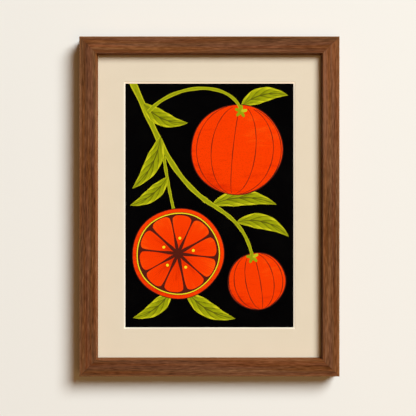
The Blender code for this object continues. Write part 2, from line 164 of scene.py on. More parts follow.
class Graph:
    """The nodes and links of one tree, written as short calls that give sockets back."""

    def __init__(self, tree: bpy.types.NodeTree) -> None:
        """Keeps the tree that the calls write into."""
        self.tree = tree

    def node(self, kind: str, **settings: object) -> Node:
        """Adds a node.

        Args:
            kind: The node's type without its ShaderNode prefix.
            settings: Properties of the node to set.

        Returns:
            The new node.
        """
        made = self.tree.nodes.new("ShaderNode" + kind)
        for name, value in settings.items():
            setattr(made, name, value)
        return made

    def feed(self, target: Socket, value: Value) -> None:
        """Links a socket to the target, or sets the target to a number, vector or colour.

        Args:
            target: The input.
            value: The socket, or the value itself, a colour without its alpha.
        """
        if isinstance(value, bpy.types.NodeSocket):
            self.tree.links.new(value, target)
        else:
            target.default_value = (*value, 1.0) if target.type == "RGBA" else value

    def fill(self, node: Node, values: dict[str, Value]) -> None:
        """Feeds a node's inputs by their names."""
        for name, value in values.items():
            self.feed(node.inputs[name], value)

    def call(self, kind: str, *values: Value, named: dict[str, Value] | None = None,
             **settings: object) -> Socket:
        """Adds a node and feeds it.

        Args:
            kind: The node's type without its ShaderNode prefix.
            values: What its first inputs take, in order.
            named: What other inputs take, by name.
            settings: Properties of the node to set.

        Returns:
            Its first output.
        """
        made = self.node(kind, **settings)
        for target, value in zip(made.inputs, values):
            self.feed(target, value)
        self.fill(made, named or {})
        return made.outputs[0]

    def math(self, operation: str, *values: Value) -> Socket:
        """The result of a Math node on one, two or three values."""
        return self.call("Math", *values, operation=operation)

    def stretched(self, vector: Socket, scale: Vector) -> Socket:
        """A vector times a scale on each axis, so that a pattern on it is drawn out."""
        return self.call("VectorMath", vector, scale, operation="MULTIPLY")

    def moved(self, vector: Socket, by: Vector) -> Socket:
        """A vector plus a fixed step."""
        return self.call("VectorMath", vector, by, operation="ADD")

    def noise(self, vector: Socket, scale: tuple[float, ...], detail: float = 2.0,
              rough: float = 0.5) -> Socket:
        """Noise from 0 to 1 on a stretched vector.

        Args:
            vector: The coordinates.
            scale: Features to a unit of length on each axis. The last number also stands for
                the axes left out.
            detail: How many finer layers are added.
            rough: How strong the finer layers are.

        Returns:
            The noise.
        """
        place = self.stretched(vector, (*scale, scale[-1], scale[-1])[:3])
        return self.call("TexNoise", place, noise_dimensions="3D",
                         named={"Scale": 1.0, "Detail": detail, "Roughness": rough})

    def ease(self, value: Socket, low: float, high: float) -> Socket:
        """0 below low, 1 above high and a smooth step between. A low above high turns it round."""
        return self.call("MapRange", value, low, high, interpolation_type="SMOOTHSTEP", clamp=True)

    def mix(self, share: Value, first: Value, second: Value) -> Socket:
        """The colour between two colours at a share.

        Args:
            share: How much of the second, 0 to 1.
            first: The first colour.
            second: The second colour.

        Returns:
            The mixed colour.
        """
        made = self.node("Mix", data_type="RGBA", clamp_factor=True)
        for number, value in zip(MIX_SOCKETS, (share, first, second)):
            self.feed(made.inputs[number], value)
        return made.outputs[2]

    def split(self, vector: Socket) -> list[Socket]:
        """The three numbers of a vector."""
        return list(self.call("SeparateXYZ", vector).node.outputs)

    def joined(self, x: Value, y: Value, z: Value) -> Socket:
        """A vector of three numbers."""
        return self.call("CombineXYZ", x, y, z)

    def place(self) -> Socket:
        """The coordinates of the object, which are the world's at rest."""
        return self.node("TexCoord").outputs["Object"]

    def lanes(self, along: Along) -> Socket:
        """Object coordinates reordered, so that the grain runs along the first of them."""
        axes = dict(zip("XYZ", self.split(self.place())))
        return self.joined(*(axes[name] for name in along.value))

    def bump(self, height: Socket, strength: float, distance: float) -> Socket:
        """A normal bent by a height, whose full range stands for a distance in metres."""
        return self.call("Bump", strength, distance, named={"Height": height})

    def show(self, surface: Socket) -> None:
        """Makes a shader the material's surface."""
        self.feed(self.tree.nodes["Material Output"].inputs["Surface"], surface)


@dataclass(frozen=True)
class Effect:
    """A shader group that several finishes share, built once and kept by its name.

    It takes a vector, then colours, then numbers. Of its results, Color is a colour and each
    other one a number.
    """

    name: str
    colours: tuple[str, ...]
    numbers: tuple[str, ...]
    results: tuple[str, ...]
    wire: Callable[[Graph, dict[str, Socket]], dict[str, Socket]]

    def group(self) -> bpy.types.NodeTree:
        """Makes the group at its first use.

        Returns:
            The group's tree.
        """
        if self.name in bpy.data.node_groups:
            return bpy.data.node_groups[self.name]
        tree = bpy.data.node_groups.new(self.name, "ShaderNodeTree")
        inputs = {"Vector": "Vector", **dict.fromkeys(self.colours, "Color"),
                  **dict.fromkeys(self.numbers, "Float")}
        outputs = {name: "Color" if name == "Color" else "Float" for name in self.results}
        for way, sockets in (("INPUT", inputs), ("OUTPUT", outputs)):
            for name, kind in sockets.items():
                tree.interface.new_socket(name, in_out=way, socket_type="NodeSocket" + kind)
        entry, leave = tree.nodes.new("NodeGroupInput"), tree.nodes.new("NodeGroupOutput")
        graph = Graph(tree)
        graph.fill(leave, self.wire(graph, {name: entry.outputs[name] for name in inputs}))
        return tree

    def use(self, graph: Graph, vector: Socket, finish: "Finish",
            **others: Value) -> dict[str, Socket]:
        """Places the group in a material, fed by the finish's fields of its inputs' names.

        Args:
            graph: The material's tree.
            vector: The coordinates.
            finish: The finish.
            others: The inputs that aren't fields.

        Returns:
            The group's outputs by name.
        """
        made = graph.node("Group", node_tree=self.group())
        own = [name for name in self.colours + self.numbers if name not in others]
        graph.fill(made, {"Vector": vector, **others,
                          **{name: getattr(finish, name.lower()) for name in own}})
        return {name: made.outputs[name] for name in self.results}


def wire_wood(graph: Graph, given: dict[str, Socket]) -> dict[str, Socket]:
    """Straight grained wood: streaks of four widths drawn out along the first axis, with pores.

    The across coordinate is first bent by a slow noise, so that the streaks wander as growth
    rings do. Tone is the sum of the four, and it picks a colour between dark, middle and light.
    Two more sets of streaks turn the hue, and one of them also makes the wood greyer. Pores are
    short dark dashes where a very fine noise is high.

    Args:
        graph: The group's tree.
        given: Its inputs.

    Returns:
        Its outputs.
    """
    along, across, depth = graph.split(given["Vector"])
    wander = graph.noise(given["Vector"], (4.5, 14.0))
    shift = graph.math("MULTIPLY", graph.math("SUBTRACT", wander, 0.5), WANDER)
    bent = graph.joined(along, graph.math("ADD", across, shift), depth)
    tone = given["Tone"]
    for scale, strength in STREAKS:
        layer = graph.math("SUBTRACT", graph.noise(bent, scale), 0.5)
        tone = graph.math("MULTIPLY_ADD", layer, strength, tone)
    pores = graph.ease(graph.noise(bent, (150.0, 3000.0), 1.0), 0.58, 0.72)
    colour = graph.mix(graph.ease(tone, 0.05, 0.50), given["Dark"], given["Middle"])
    colour = graph.mix(graph.ease(tone, 0.50, 0.98), colour, given["Light"])
    colour = graph.mix(graph.math("MULTIPLY", pores, given["Pores"]), colour, given["Dark"])
    grey = graph.ease(graph.noise(bent, (6.0, 230.0)), 0.36, 0.64)
    warm = graph.ease(graph.noise(bent, (5.0, 170.0)), 0.32, 0.68)
    hue = graph.math("MULTIPLY_ADD", grey, 0.004, 0.494)
    hue = graph.math("MULTIPLY_ADD", warm, 0.009, hue)
    strength = graph.math("MULTIPLY_ADD", grey, -0.085, 1.025)
    rough = graph.math("MULTIPLY_ADD", tone, -0.10, 0.60)
    return {"Color": graph.call("HueSaturation", hue, strength, named={"Color": colour}),
            "Roughness": graph.math("MULTIPLY_ADD", pores, 0.14, rough),
            "Height": graph.math("MULTIPLY_ADD", pores, -0.7, graph.math("MULTIPLY", tone, 0.3))}


def wire_paper(graph: Graph, given: dict[str, Socket]) -> dict[str, Socket]:
    """Paper or board: a fine tooth, lying fibres and a faint cloudiness of its colour.

    Height is a fine round noise plus a noise drawn out into short fibres. Colour moves by a
    small share towards the fleck colour where a cloudy noise and the fibres are high.

    Args:
        graph: The group's tree.
        given: Its inputs.

    Returns:
        Its outputs.
    """
    vector = given["Vector"]
    tooth = graph.noise(vector, (1900.0,), 3.0, 0.6)
    fibre = graph.noise(vector, (240.0, 1500.0))
    cloud = graph.ease(graph.noise(vector, (38.0,), 3.0), 0.35, 0.8)
    share = graph.math("MULTIPLY_ADD", graph.ease(fibre, 0.48, 0.75), 0.5, cloud)
    share = graph.math("MULTIPLY", share, given["Amount"])
    return {"Color": graph.mix(share, given["Base"], given["Fleck"]),
            "Height": graph.math("MULTIPLY_ADD", fibre, 0.5, graph.math("MULTIPLY", tooth, 0.5))}


def wire_brush(graph: Graph, given: dict[str, Socket]) -> dict[str, Socket]:
    """Brush strokes in ink: long streaks along the first axis that lighten and darken a colour.

    A noise drawn out along the stroke picks between deep, base and bright, and a fine speckle
    leaves a little of the paper's tooth in the ink.

    Args:
        graph: The group's tree.
        given: Its inputs.

    Returns:
        Its outputs.
    """
    stroke = graph.noise(given["Vector"], (3.0, 34.0, 1.0), 3.0, 0.6)
    speck = graph.noise(given["Vector"], (60.0, 160.0, 1.0), 1.0)
    tone = graph.math("ADD", graph.math("MULTIPLY_ADD", stroke, 0.9, -0.45), given["Tone"])
    tone = graph.math("MULTIPLY_ADD", speck, 0.16, graph.math("SUBTRACT", tone, 0.08))
    colour = graph.mix(graph.ease(tone, 0.12, 0.46), given["Deep"], given["Base"])
    return {"Color": graph.mix(graph.ease(tone, 0.56, 0.92), colour, given["Bright"])}


def wire_metal(graph: Graph, given: dict[str, Socket]) -> dict[str, Socket]:
    """Rolled or plated sheet metal: fine scratches along the first axis and dull handled spots.

    Args:
        graph: The group's tree.
        given: Its inputs.

    Returns:
        Its outputs.
    """
    scratch = graph.noise(given["Vector"], (120.0, 5200.0))
    spots = graph.ease(graph.noise(given["Vector"], (260.0,), 3.0), 0.42, 0.68)
    share = graph.math("MULTIPLY_ADD", spots, 0.6, graph.math("MULTIPLY", scratch, 0.4))
    return {"Color": graph.mix(share, given["Base"], given["Dull"]),
            "Roughness": graph.math("MULTIPLY_ADD", share, 0.14, given["Roughness"]),
            "Height": scratch}


WOOD = Effect("wood_figure", ("Dark", "Middle", "Light"), ("Pores", "Tone"),
              ("Color", "Roughness", "Height"), wire_wood)
PAPER = Effect("paper_tooth", ("Base", "Fleck"), ("Amount",), ("Color", "Height"), wire_paper)
BRUSH = Effect("brushed_ink", ("Deep", "Base", "Bright"), ("Tone",), ("Color",), wire_brush)
METAL = Effect("worn_metal", ("Base", "Dull"), ("Roughness",),
               ("Color", "Roughness", "Height"), wire_metal)


@dataclass(frozen=True)
class Finish:
    """A finish of the object: one Principled material whose nodes a subclass wires."""

    name: str

    def wire(self, graph: Graph, shader: Node) -> None:
        """Wires the finish into its shader."""
        raise NotImplementedError

    def material(self) -> bpy.types.Material:
        """Makes the material at its first use, under a name that no slot of the frame has.

        Returns:
            The material.
        """
        name = "look_" + self.name
        if name in bpy.data.materials:
            return bpy.data.materials[name]
        made = bpy.data.materials.new(name)
        made.use_nodes = True
        self.wire(Graph(made.node_tree), made.node_tree.nodes["Principled BSDF"])
        return made


@dataclass(frozen=True)
class WoodFinish(Finish):
    """Oiled brown wood whose grain runs along one axis, cut from its own place in the log."""

    along: Along
    offset: Vector
    tone: float = 0.5                           # 0 for dark and 1 for light wood
    dark: Colour = srgb(80, 45, 23)
    middle: Colour = srgb(108, 64, 36)
    light: Colour = srgb(138, 88, 55)
    worn_and_highlight: Colour = srgb(164, 118, 76)         # worn lighter where hands rub it; on the arris also a painted highlight
    lip_light_and_shade: Colour = srgb(151, 86, 38)          # the lip's inner wall: painted light, paler than the wood; each rail gives its own
    pores: float = 0.42                         # how dark a pore is
    margin: float = 0.0034                      # width along both edges that hands polish
    polish: float = 0.12                        # share of the worn colour on the margins
    arris_wear_and_highlight: float = 0.6                           # share of it on the outer arris: wear and a painted highlight
    lip_paint_share: float = 0.42                         # share of the painted lip colour on the wall
    relief: float = 0.00016

    def edges(self, graph: Graph) -> tuple[Socket, Socket, Socket]:
        """Masks of the outer front arris, of the lip's inner wall and of the face's two margins.

        All come from how far a point lies outside a rectangle about the frame's middle: the
        larger of its two distances, which is the same all along a mitred ring.

        Args:
            graph: The material's tree.

        Returns:
            The masks of the arris, the wall and the margins.
        """
        x, y, z = graph.split(graph.place())
        low, high = CAD_BOX
        middle = (high.z + low.z) / 2
        side = graph.math("SUBTRACT", graph.math("ABSOLUTE", x), high.x)
        off = graph.math("ABSOLUTE", graph.math("SUBTRACT", z, middle))
        out = graph.math("MAXIMUM", side, graph.math("SUBTRACT", off, high.z - middle))
        front = graph.math("SUBTRACT", low.y + ARRIS, y)
        inside = graph.math("MINIMUM", graph.math("ADD", out, ARRIS), front)
        wall = graph.ease(out, -FACE_WIDTH + 0.5 * ARRIS, -FACE_WIDTH + 0.1 * ARRIS)
        outer = graph.ease(out, -self.margin, -0.4 * self.margin)
        inner = graph.ease(out, 0.5 * self.margin - FACE_WIDTH, 0.2 * self.margin - FACE_WIDTH)
        return (graph.ease(inside, -0.1 * ARRIS, 0.25 * ARRIS), wall,
                graph.math("MAXIMUM", outer, inner))

    def wire(self, graph: Graph, shader: Node) -> None:
        """Feeds the wood figure, with wear and painted light and shade at its edges, into the shader.

        Args:
            graph: The material's tree.
            shader: Its Principled shader.
        """
        figure = WOOD.use(graph, graph.moved(graph.lanes(self.along), self.offset), self)
        arris, wall, margin = self.edges(graph)
        colour = figure["Color"]
        # The margins are worn lighter. The lip's inner wall gets the rail's painted light or painted
        # shade. The arris is worn lighter and carries a painted highlight.
        for mask, share, over in ((margin, self.polish, self.worn_and_highlight),
                                  (wall, self.lip_paint_share, self.lip_light_and_shade), (arris, self.arris_wear_and_highlight, self.worn_and_highlight)):
            colour = graph.mix(graph.math("MULTIPLY", mask, share), colour, over)
        graph.fill(shader, {"Base Color": colour, "Roughness": figure["Roughness"],
                            "Normal": graph.bump(figure["Height"], 0.5, self.relief),
                            "Specular IOR Level": 0.1})


@dataclass(frozen=True)
class PaperFinish(Finish):
    """Paper, card or board."""

    base: Colour
    fleck: Colour
    amount: float                               # how far the flecks change the base
    tooth: float                                # depth of the tooth
    roughness: float = 0.9
    specular: float = 0.25
    painted_glow: float = 0.0                           # painted glow: emission of its own colour, though it is no lamp

    def wire(self, graph: Graph, shader: Node) -> None:
        """Feeds the shared paper tooth into colour and a bump, and a painted glow where one is set.

        Args:
            graph: The material's tree.
            shader: Its Principled shader.
        """
        paper = PAPER.use(graph, graph.lanes(Along.Z), self)
        graph.fill(shader, {"Base Color": paper["Color"], "Roughness": self.roughness,
                            "Normal": graph.bump(paper["Height"], 0.6, self.tooth),
                            "Specular IOR Level": self.specular})
        # painted glow: the paper gives off its own colour as light, though it is no lamp
        if self.painted_glow:
            graph.fill(shader, {"Emission Color": paper["Color"], "Emission Strength": self.painted_glow})


@dataclass(frozen=True)
class HardboardFinish(Finish):
    """Pressed fibre board: brown, nearly even, with lighter lying fibres and a slight sheen."""

    base: Colour = srgb(112, 75, 48)
    fibre: Colour = srgb(168, 124, 84)
    speck: Colour = srgb(66, 40, 24)
    ways: tuple[float, ...] = (0.3, 0.9, 1.5, 2.2, 2.8)     # angles that the fibres lie at
    relief: float = 0.00012

    def wire(self, graph: Graph, shader: Node) -> None:
        """Takes the highest of long thin noises turned each way and adds dark specks of bark.

        Args:
            graph: The material's tree.
            shader: Its Principled shader.
        """
        place, fibres = graph.place(), 0.0
        for way in self.ways:
            turned = graph.call("VectorRotate", place, named={"Angle": way},
                                rotation_type="Y_AXIS")
            layer = graph.noise(turned, (200.0, 900.0, 1300.0), 2.0, 0.6)
            fibres = graph.math("MAXIMUM", fibres, layer)
        cloud = graph.ease(graph.noise(place, (22.0,), 5.0, 0.68), 0.36, 0.62)
        specks = graph.ease(graph.noise(place, (330.0,), 1.0), 0.66, 0.74)
        share = graph.math("MULTIPLY", graph.ease(fibres, 0.50, 0.76),
                           graph.math("MULTIPLY_ADD", cloud, 0.45, 0.50))
        colour = graph.mix(share, self.base, self.fibre)
        colour = graph.mix(graph.math("MULTIPLY", specks, 0.6), colour, self.speck)
        graph.fill(shader, {"Base Color": colour,
                            "Roughness": graph.math("MULTIPLY_ADD", fibres, 0.35, 0.38),
                            "Normal": graph.bump(fibres, 0.5, self.relief)})


@dataclass(frozen=True)
class MetalFinish(Finish):
    """Sheet or drawn metal, brushed across the frame, with duller handled spots."""

    base: Colour
    dull: Colour
    roughness: float
    relief: float = 0.00004

    def wire(self, graph: Graph, shader: Node) -> None:
        """Feeds the shared worn metal into colour, roughness and a bump."""
        metal = METAL.use(graph, graph.lanes(Along.X), self)
        graph.fill(shader, {"Base Color": metal["Color"], "Roughness": metal["Roughness"],
                            "Normal": graph.bump(metal["Height"], 0.35, self.relief),
                            "Metallic": 1.0})


@dataclass(frozen=True)
class FeltFinish(Finish):
    """Dark felted rubber with a soft nap."""

    base: Colour = srgb(46, 42, 40)
    nap: Colour = srgb(84, 78, 74)
    relief: float = 0.0002

    def wire(self, graph: Graph, shader: Node) -> None:
        """Lightens and raises the base by a fine nap.

        Args:
            graph: The material's tree.
            shader: Its Principled shader.
        """
        nap = graph.noise(graph.place(), (2600.0,), 3.0, 0.7)
        colour = graph.mix(graph.ease(nap, 0.45, 0.8), self.base, self.nap)
        graph.fill(shader, {"Base Color": colour, "Normal": graph.bump(nap, 0.8, self.relief),
                            "Roughness": 0.95, "Specular IOR Level": 0.2})


@dataclass(frozen=True)
class GlassFinish(Finish):
    """Thin picture glass with an anti-reflective coating, so its index is set low."""

    tint: Colour = (0.985, 0.992, 0.988)
    index: float = 1.12

    def wire(self, graph: Graph, shader: Node) -> None:
        """Lets lamps through by a Transparent shader that only shadow and diffuse rays meet.

        Args:
            graph: The material's tree.
            shader: Its Principled shader.
        """
        graph.fill(shader, {"Base Color": self.tint, "Roughness": 0.0, "IOR": self.index,
                            "Transmission Weight": 1.0})
        clear, rays = graph.call("BsdfTransparent"), graph.node("LightPath")
        surface = shader.outputs[0]
        for kind in ("Is Shadow Ray", "Is Diffuse Ray"):
            surface = graph.call("MixShader", rays.outputs[kind], surface, clear)
        graph.show(surface)


@dataclass(frozen=True)
class InkFinish(Finish):
    """Printed ink on the picture: three tones of a colour laid on by the brush."""

    deep: Colour
    base: Colour
    bright: Colour
    strokes: Vector = (1.0, 1.0, 1.0)           # how far the brush's marks are pressed together

    def tone(self, graph: Graph, place: Socket) -> Value:
        """The tone before the brush changes it, 0 for deep and 1 for bright."""
        return 0.5

    def overlay(self, graph: Graph, place: Socket, colour: Socket) -> Socket:
        """What is drawn over the brushed colour."""
        return colour

    def off_middle(self, graph: Graph, place: Socket) -> Socket:
        """How far a point lies from the middle of a stem or leaf, 0 to 1 at its margins."""
        across = graph.split(place)[1]
        return graph.math("ABSOLUTE", graph.math("MULTIPLY_ADD", across, 2.0, -1.0))

    def wire(self, graph: Graph, shader: Node) -> None:
        """Brushes the ink along the piece's own map and keeps it nearly matt.

        Args:
            graph: The material's tree.
            shader: Its Principled shader.
        """
        place = graph.node("UVMap", uv_map="ink").outputs[0]
        ink = BRUSH.use(graph, graph.stretched(place, self.strokes), self,
                        Tone=self.tone(graph, place))
        graph.fill(shader, {"Base Color": self.overlay(graph, place, ink["Color"]),
                            "Roughness": 0.75, "Specular IOR Level": 0.05})


@dataclass(frozen=True)
class StemInk(InkFinish):
    """A stem: its margins are lighter than its middle."""

    def tone(self, graph: Graph, place: Socket) -> Value:
        """The tone rises towards both margins."""
        margins = graph.ease(self.off_middle(graph, place), 0.45, 0.85)
        return graph.math("MULTIPLY_ADD", margins, 0.44, 0.40)


@dataclass(frozen=True)
class LeafInk(InkFinish):
    """A leaf: light margins, a thin dark midrib and thin veins that run out and forward."""

    vein: Colour = srgb(72, 66, 18)
    veins: float = 5.0          # to a leaf's length, on each side
    lean: float = 0.34          # how far a vein runs forward, as a share of the length

    def between(self, graph: Graph, place: Socket) -> tuple[Socket, Socket]:
        """Where a point lies between midrib and margin, and between two veins.

        Args:
            graph: The material's tree.
            place: The map place.

        Returns:
            The offset from the midrib and the place between two veins, each 0 to 1.
        """
        off = self.off_middle(graph, place)
        run = graph.math("MULTIPLY_ADD", off, -self.lean, graph.split(place)[0])
        return off, graph.math("FRACT", graph.math("MULTIPLY", run, self.veins))

    def tone(self, graph: Graph, place: Socket) -> Value:
        """Lighter towards the margins, and from one vein to the next.

        Args:
            graph: The material's tree.
            place: The map place.

        Returns:
            The tone.
        """
        off, step = self.between(graph, place)
        tone = graph.math("MULTIPLY_ADD", graph.ease(off, 0.40, 0.92), 0.42, 0.22)
        return graph.math("MULTIPLY_ADD", step, 0.34, tone)

    def overlay(self, graph: Graph, place: Socket, colour: Socket) -> Socket:
        """Veins are lines where the run along the leaf, less a share of the offset, is a step.

        Args:
            graph: The material's tree.
            place: The map place.
            colour: The brushed colour.

        Returns:
            The colour with the veins on it.
        """
        off, step = self.between(graph, place)
        near = graph.math("MINIMUM", step, graph.math("SUBTRACT", 1.0, step))
        line = graph.math("MULTIPLY", graph.ease(near, 0.075, 0.030), graph.ease(off, 0.98, 0.86))
        line = graph.math("MAXIMUM", line, graph.ease(off, 0.105, 0.045))
        return graph.mix(graph.math("MULTIPLY", line, 0.8), colour, self.vein)


@dataclass(frozen=True)
class RindInk(InkFinish):
    """The rind of a fruit: nearly flat, lighter towards one spot, with faint dimples."""

    dimple: Colour = srgb(150, 26, 6)
    spot: Vector = (0.62, 0.66, 0.0)
    cells: float = 34.0         # dimples across a fruit

    def tone(self, graph: Graph, place: Socket) -> Value:
        """The tone falls from a light spot, up and to the right of the middle.

        Args:
            graph: The material's tree.
            place: The map place.

        Returns:
            The tone.
        """
        away = graph.moved(place, tuple(-s for s in self.spot))
        far = graph.call("VectorMath", away, operation="LENGTH").node.outputs["Value"]
        tone = graph.math("MULTIPLY_ADD", far, -0.50, 0.43)
        return graph.math("MULTIPLY_ADD", graph.noise(place, (2.3, 2.3, 1.0), 1.0), 0.50, tone)

    def overlay(self, graph: Graph, place: Socket, colour: Socket) -> Socket:
        """Dimples are the small cells of a Voronoi pattern.

        Args:
            graph: The material's tree.
            place: The map place.
            colour: The brushed colour.

        Returns:
            The colour with the dimples on it.
        """
        far = graph.call("TexVoronoi", place, named={"Scale": self.cells}, feature="F1",
                         voronoi_dimensions="2D")
        dots = graph.math("MULTIPLY", graph.ease(far, 0.24, 0.12), 0.2)
        return graph.mix(dots, colour, self.dimple)


@dataclass(frozen=True)
class FleshInk(InkFinish):
    """A segment of cut fruit: deeper at the heart than under the rind."""

    def tone(self, graph: Graph, place: Socket) -> Value:
        """The tone rises from the heart to the rind, and differs from segment to segment."""
        own = graph.math("MULTIPLY_ADD", graph.noise(place, (0.3, 0.8, 1.0), 0.0), 0.7, -0.09)
        return graph.math("MULTIPLY_ADD", graph.split(place)[0], 0.40, own)


@dataclass(frozen=True)
class StageFinish(Finish):
    """Plain pale paint of the studio, shown only to the eye in front and never in lamps' way."""

    colour: Colour

    def wire(self, graph: Graph, shader: Node) -> None:
        """Only rays from the eye that meet the front see the paint, and others pass.

        Args:
            graph: The material's tree.
            shader: Its Principled shader.
        """
        graph.fill(shader, {"Base Color": self.colour, "Roughness": 0.95,
                            "Specular IOR Level": 0.1})
        front = graph.math("SUBTRACT", 1.0, graph.node("NewGeometry").outputs["Backfacing"])
        seen = graph.math("MULTIPLY", front, graph.node("LightPath").outputs["Is Camera Ray"])
        graph.show(graph.call("MixShader", seen, graph.call("BsdfTransparent"), shader.outputs[0]))


def put(name: str, data: bpy.types.ID) -> bpy.types.Object:
    """Puts a mesh, a lamp's light or a camera's lens into the scene.

    Args:
        name: The object's name.
        data: What it holds.

    Returns:
        The object, at the origin.
    """
    made = bpy.data.objects.new(name, data)
    bpy.context.scene.collection.objects.link(made)
    return made


def report(piece: bpy.types.Object) -> None:
    """Logs a piece and how many faces it has."""
    LOG.info("%s: %d faces", piece.name, len(piece.data.polygons))


def dress(node: str, finish: Finish) -> None:
    """Gives a CAD node its finish and leaves its mesh as it is.

    Args:
        node: The node's name.
        finish: Its finish.
    """
    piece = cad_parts[node]
    piece.material_slots[0].material = finish.material()
    report(piece)


@dataclass
class Shell:
    """A piece gathered from grids of points, then welded into closed bodies that face outward."""

    name: str
    finishes: list[Finish]
    points: list[np.ndarray] = field(default_factory=list)
    maps: list[np.ndarray] = field(default_factory=list)
    faces: list[np.ndarray] = field(default_factory=list)
    looks: list[np.ndarray] = field(default_factory=list)
    count: int = 0

    def patch(self, grid: np.ndarray, uv: np.ndarray | None = None,
              look: int | np.ndarray = 0) -> None:
        """Adds the quads between the rows and columns of a grid.

        Args:
            grid: Points of shape (rows, columns, 3).
            uv: Map places of shape (rows, columns, 2), or none for zeros.
            look: The index of the patch's finish, or one for each quad.
        """
        rows, columns = grid.shape[:2]
        index = self.count + np.arange(rows * columns).reshape(rows, columns)
        quads = coords(index[:-1, :-1], index[1:, :-1], index[1:, 1:], index[:-1, 1:])
        quads = quads.reshape(-1, 4)
        self.points.append(grid.reshape(-1, 3))
        self.maps.append(np.zeros((rows * columns, 2)) if uv is None else uv.reshape(-1, 2))
        self.faces.append(quads)
        self.looks.append(np.full(len(quads), look))
        self.count += rows * columns

    def slab(self, grid: np.ndarray, uv: np.ndarray, step: np.ndarray | Vector,
             rims: tuple[Rim, ...], look: int = 0) -> None:
        """Adds a thin body: the grid, its copy a step away and the walls at its rims.

        Args:
            grid: The front's points, of shape (rows, columns, 3).
            uv: Map places of shape (rows, columns, 2).
            step: From a point to its copy.
            rims: The open borders of the grid.
            look: The index of the body's finish.
        """
        back = grid + np.array(step)
        self.patch(grid, uv, look)
        self.patch(back, uv, look)
        for rim in rims:
            at = rim.value
            self.patch(np.stack([grid[at], back[at]]), np.stack([uv[at], uv[at]]), look)

    def build(self, smooth: bool = False, sharp: float = 35.0) -> bpy.types.Object:
        """Welds what was gathered into one mesh object.

        Args:
            smooth: Whether it is shaded smooth away from its sharp edges.
            sharp: The angle in degrees above which an edge stays sharp.

        Returns:
            The object, at the origin, with its place in its mesh.
        """
        faces, maps = np.concatenate(self.faces), np.concatenate(self.maps)
        mesh = bpy.data.meshes.new(self.name)
        mesh.from_pydata(np.concatenate(self.points), [], faces)
        layer = mesh.uv_layers.new(name="ink")
        layer.data.foreach_set("uv", maps[faces.ravel()].astype(np.float32).ravel())
        mesh.polygons.foreach_set("material_index", np.concatenate(self.looks).astype(np.int32))
        for finish in self.finishes:
            mesh.materials.append(finish.material())
        bm = bmesh.new()
        bm.from_mesh(mesh)
        bmesh.ops.remove_doubles(bm, verts=bm.verts, dist=WELD)
        bmesh.ops.recalc_face_normals(bm, faces=bm.faces)
        bm.to_mesh(mesh)
        bm.free()
        if smooth:
            mesh.shade_smooth()
            mesh.set_sharp_from_angle(angle=math.radians(sharp))
        return put(self.name, mesh)


@dataclass
class Moulding:
    """The four mitred rails, each with its own run of grain, and the waxed glue in their mitres."""

    flare: float = 0.0018           # how far the lip's inner wall slopes in
    lip: float = 0.0090             # from the front face back to the glass
    shoulder: float = 0.0160        # width behind the lip
    glue_deep: float = 0.0160       # how far back the glue fills the mitre
    gap: float = 0.0003             # between two rails
    shy: float = 0.00004            # how far the glue stays under the surface
    steps: int = 5                  # points round each arris
    wax: Finish = WoodFinish("mitre_wax", Along.X, (9.1, 0.3, 0.2), dark=srgb(66, 37, 20),
                             middle=srgb(92, 54, 30), light=srgb(116, 72, 42))
    # each rail's grain, where it is cut from the log, its tone and the colour painted on its inner
    # wall:
    # painted light on the left and lower rails, painted shade on the right and upper ones
    rails: tuple[tuple[str, Along, Vector, float, Colour], ...] = (
        ("rail_left", Along.Z, (0.13, 0.00, 0.00), 0.43, srgb(151, 86, 36)),
        ("rail_right", Along.Z, (8.47, 0.99, 0.22), 0.70, srgb(95, 44, 0)),
        ("rail_top", Along.X, (3.59, 0.94, 0.17), 0.51, srgb(122, 69, 13)),
        ("rail_bottom", Along.X, (2.44, 0.88, 0.02), 0.42, srgb(148, 76, 23)),
    )

    def section(self) -> np.ndarray:
        """The glue's section as distances from the outer edge and depths, front row and back row.

        The front runs round the outer arris, over the face and round the inner arris, each a
        quarter circle, to the foot of the lip's sloped wall. The back steps up at the shoulder.

        Returns:
            An array of shape (2, columns, 2).
        """
        turn = np.linspace(0, np.pi / 2, self.steps)
        round_in = np.linspace(0, np.pi / 2 - math.atan(self.flare / self.lip), self.steps)
        shy, bend, foot = self.shy, ARRIS - self.shy, self.lip - self.shy
        out = np.concatenate([
            ARRIS - bend * np.cos(turn), [self.shoulder, self.shoulder],
            FACE_WIDTH - ARRIS + bend * np.sin(round_in), [FACE_WIDTH + self.flare - shy]])
        front = np.concatenate([
            ARRIS - bend * np.sin(turn), [shy, shy], ARRIS - bend * np.cos(round_in), [foot]])
        back = np.where(np.arange(len(out)) <= self.steps, self.glue_deep, foot)
        return np.stack([coords(out, front), coords(out, back)])

    def build_mitres(self) -> None:
        """Stands the section up in the diagonal plane of each corner, thinner than the gap."""
        low, high = CAD_BOX
        half_x, half_z, middle = (high.x - low.x) / 2, (high.z - low.z) / 2, (low.z + high.z) / 2
        section = self.section()
        thin = (self.gap - 2 * self.shy) / math.sqrt(2)
        across, deep = section[..., 0] + thin / 2, low.y + section[..., 1]
        glue = Shell("mitre_glue", [self.wax])
        for side, up in ((-1, -1), (1, -1), (1, 1), (-1, 1)):
            grid = coords(side * (half_x - across), deep, middle + up * (half_z - across))
            step = np.array([side * thin, 0.0, -up * thin])
            glue.slab(grid - step / 2, np.zeros_like(section), step, ALL_RIMS)
        made = glue.build()
        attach(made, "frame")
        report(made)

    def build(self) -> None:
        """Dresses each rail with wood that runs along it, then fills the mitres."""
        # wall is the colour painted on the lip's inner wall: painted light where it faces the lamp,
        # painted shade where it faces away
        for node, along, offset, tone, wall in self.rails:
            dress(node, WoodFinish("walnut_" + node, along, offset, tone, lip_light_and_shade=wall))
        self.build_mitres()


@dataclass
class Glazing:
    """The pane in front of the mat."""

    finish: Finish = GlassFinish("picture_glass")

    def build(self) -> None:
        """Dresses the pane."""
        dress("glass", self.finish)


